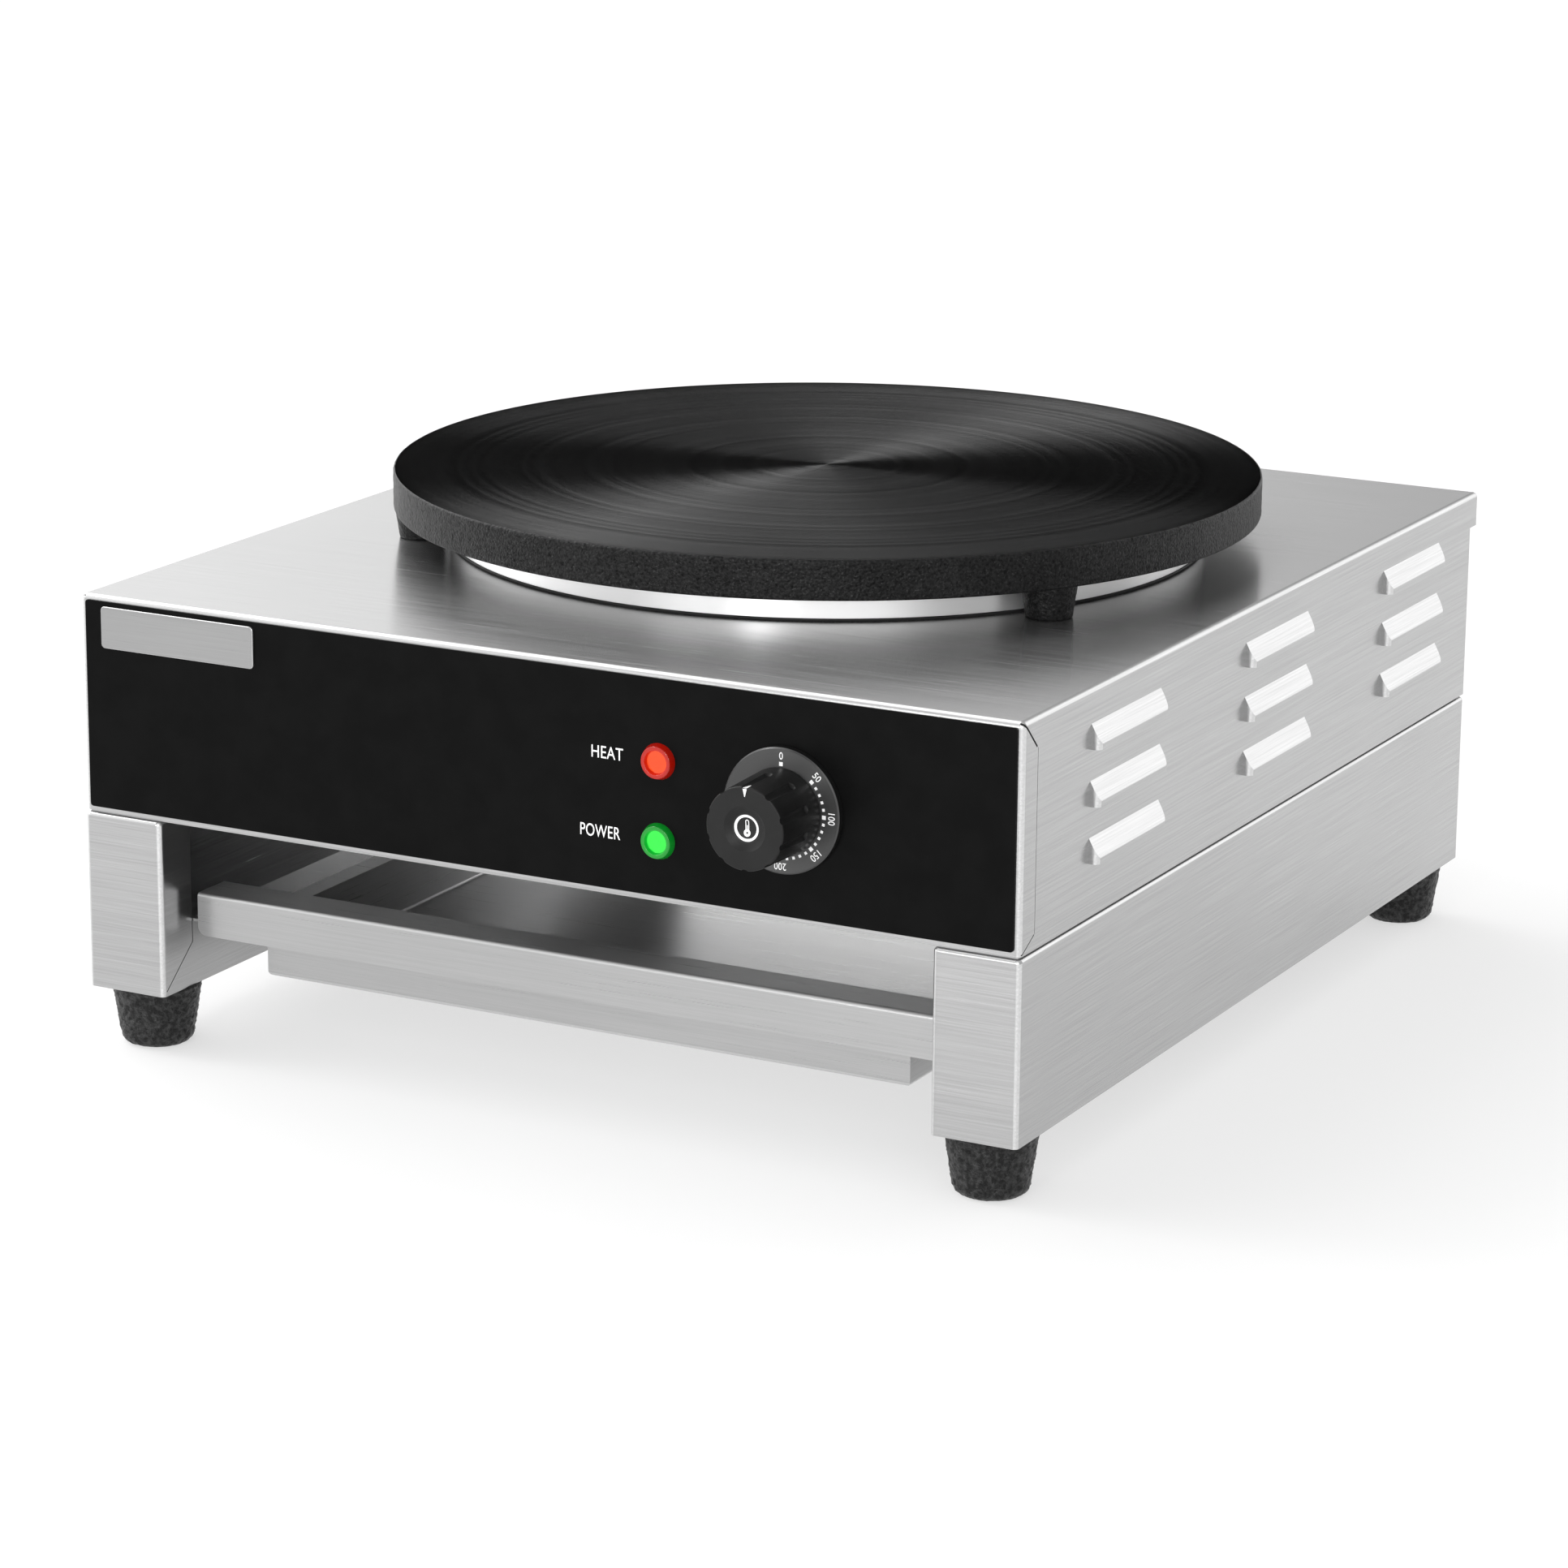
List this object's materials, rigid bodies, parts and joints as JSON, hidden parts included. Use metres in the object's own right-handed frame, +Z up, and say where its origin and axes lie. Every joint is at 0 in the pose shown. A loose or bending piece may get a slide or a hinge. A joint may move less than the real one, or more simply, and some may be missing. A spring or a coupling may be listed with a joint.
{
  "type": "electric crepe griddle",
  "caption": "Countertop electric griddle with a round cast plate on a stainless casing, temperature knob, pilot lamps, slide-out drip drawer and rubber feet.",
  "frame": {"origin": "on the worktop, below the middle of the appliance's overall outline", "axes": "+Z up, -Y towards the cook (control panel), +Y to the back, +X to the cook's right"},
  "size_m": [0.468, 0.545, 0.2415],
  "materials": {
    "stainless": "brushed, satin",
    "zinc_plated_steel": "bright zinc",
    "black_panel": "satin black",
    "dark_ring": "black anodised, turned",
    "black_knob": "matt, moulded",
    "knob_insert": "matt",
    "black_moulding": "matt, moulded",
    "cast_plate": "seasoned, turned on top",
    "mineral_board": "rough, fibrous",
    "element_sheath": "heat-stained",
    "copper": "dull copper",
    "white_moulding": "matt, moulded",
    "brass": "plain",
    "wire_sleeve": "glass-fibre sleeve",
    "rubber": "rough, pitted",
    "red_lens": "translucent",
    "green_lens": "translucent"
  },
  "bodies": {
    "casing": {"base_side_left": "stainless", "base_side_right": "stainless", "base_rear_panel": "stainless", "casing_cover": "stainless", "casing_floor": "stainless", "rear_panel": "stainless", "heater_pan": "stainless", "element_spider": "stainless", "retaining_bar": "stainless", "badge_plate": "stainless", "base_panel_screws": "zinc_plated_steel", "foot_screws": "zinc_plated_steel", "foot_nuts": "zinc_plated_steel", "rear_panel_screws": "zinc_plated_steel", "chassis_bolts": "zinc_plated_steel", "chassis_nuts": "zinc_plated_steel", "thermostat_screws": "zinc_plated_steel", "stud_nut": "zinc_plated_steel", "plate_stud": "zinc_plated_steel", "terminal_screws": "zinc_plated_steel", "lamp_clips": "zinc_plated_steel", "bulb_clips": "zinc_plated_steel", "fascia": "black_panel", "dial_ring": "dark_ring", "thermostat": "black_moulding", "cooking_plate": "cast_plate", "insulation_pad": "mineral_board", "heating_element": "element_sheath", "sensor_bulb": "copper", "capillary": "copper", "terminal_block": "white_moulding", "cord_gland": "black_moulding", "gland_nut": "black_moulding", "earth_stud": "brass", "internal_wiring": "wire_sleeve", "foot_front_left": "rubber", "foot_front_right": "rubber", "foot_rear_left": "rubber", "foot_rear_right": "rubber", "heat_lamp_lens": "red_lens", "power_lamp_lens": "green_lens", "heat_lamp_body": "black_moulding", "power_lamp_body": "black_moulding"},
    "drawer": {"drip_drawer": "stainless"},
    "control_knob": {"knob": "black_knob", "knob_cap": "knob_insert", "thermostat_shaft": "zinc_plated_steel"}
  },
  "joints": [
    {"name": "drawer_slide", "type": "slide", "parent": "casing", "child": "drawer", "axis": [0, -1, 0], "range_m": [0, 0.32]},
    {"name": "knob_turn", "type": "hinge", "parent": "casing", "child": "control_knob", "pos_m": [0.1215, -0.2375, 0.158], "axis": [0, 1, 0], "range_deg": [0, 270]}
  ]
}
